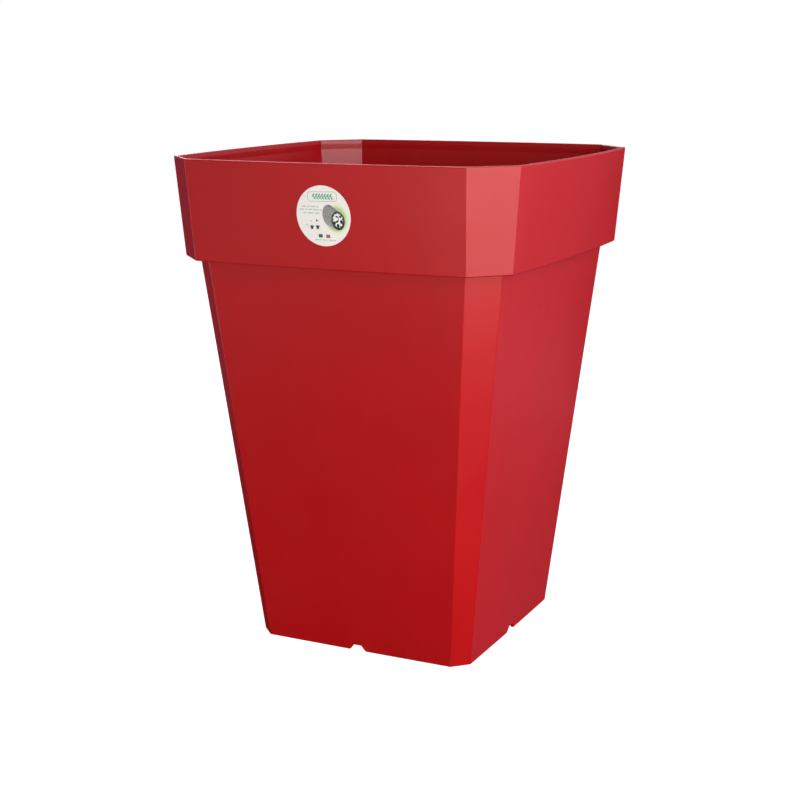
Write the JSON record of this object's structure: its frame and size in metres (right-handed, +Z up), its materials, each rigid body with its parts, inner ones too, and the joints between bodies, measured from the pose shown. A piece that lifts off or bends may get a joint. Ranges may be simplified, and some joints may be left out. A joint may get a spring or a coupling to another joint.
{
  "type": "plant pot",
  "caption": "Tall square tapered plastic plant pot with a stepped collar, cut corners, a round label, a loose reserve grid, wick cups and floor plugs.",
  "frame": {"origin": "middle of the pot's foot, on the ground", "axes": "+Z up along the pot's axis, -Y towards the side with the label"},
  "size_m": [0.3996, 0.3997, 0.52],
  "materials": {
    "shell_plastic": "satin red moulded polypropylene",
    "label_film": "cream printed paper label, faintly glossy",
    "grid_plastic": "off-white moulded polypropylene",
    "fitting_plastic": "charcoal soft moulded plastic"
  },
  "bodies": {
    "pot": {"pot_shell": "shell_plastic", "label": "label_film"},
    "grid": {"reserve_grid": "grid_plastic"},
    "riser": {"overflow_tube": "fitting_plastic"},
    "cup_1": {"wick_cup_1": "grid_plastic"},
    "plug_1": {"drain_plug_1": "fitting_plastic"},
    "cup_2": {"wick_cup_2": "grid_plastic"},
    "plug_2": {"drain_plug_2": "fitting_plastic"},
    "cup_3": {"wick_cup_3": "grid_plastic"},
    "plug_3": {"drain_plug_3": "fitting_plastic"},
    "cup_4": {"wick_cup_4": "grid_plastic"},
    "plug_4": {"drain_plug_4": "fitting_plastic"}
  },
  "joints": [
    {"name": "grid_lift", "type": "slide", "parent": "pot", "child": "grid", "axis": [0, 0, 1], "range_m": [0, 0.52]},
    {"name": "cup_lift_1", "type": "slide", "parent": "grid", "child": "cup_1", "axis": [0, 0, 1], "range_m": [0, 0.07]},
    {"name": "cup_lift_2", "type": "slide", "parent": "grid", "child": "cup_2", "axis": [0, 0, 1], "range_m": [0, 0.07]},
    {"name": "cup_lift_3", "type": "slide", "parent": "grid", "child": "cup_3", "axis": [0, 0, 1], "range_m": [0, 0.07]},
    {"name": "cup_lift_4", "type": "slide", "parent": "grid", "child": "cup_4", "axis": [0, 0, 1], "range_m": [0, 0.07]},
    {"name": "riser_pull", "type": "slide", "parent": "pot", "child": "riser", "axis": [0, 0, -1], "range_m": [0, 0.06]},
    {"name": "plug_pull_1", "type": "slide", "parent": "pot", "child": "plug_1", "axis": [0, 0, -1], "range_m": [0, 0.02]},
    {"name": "plug_pull_2", "type": "slide", "parent": "pot", "child": "plug_2", "axis": [0, 0, -1], "range_m": [0, 0.02]},
    {"name": "plug_pull_3", "type": "slide", "parent": "pot", "child": "plug_3", "axis": [0, 0, -1], "range_m": [0, 0.02]},
    {"name": "plug_pull_4", "type": "slide", "parent": "pot", "child": "plug_4", "axis": [0, 0, -1], "range_m": [0, 0.02]}
  ]
}
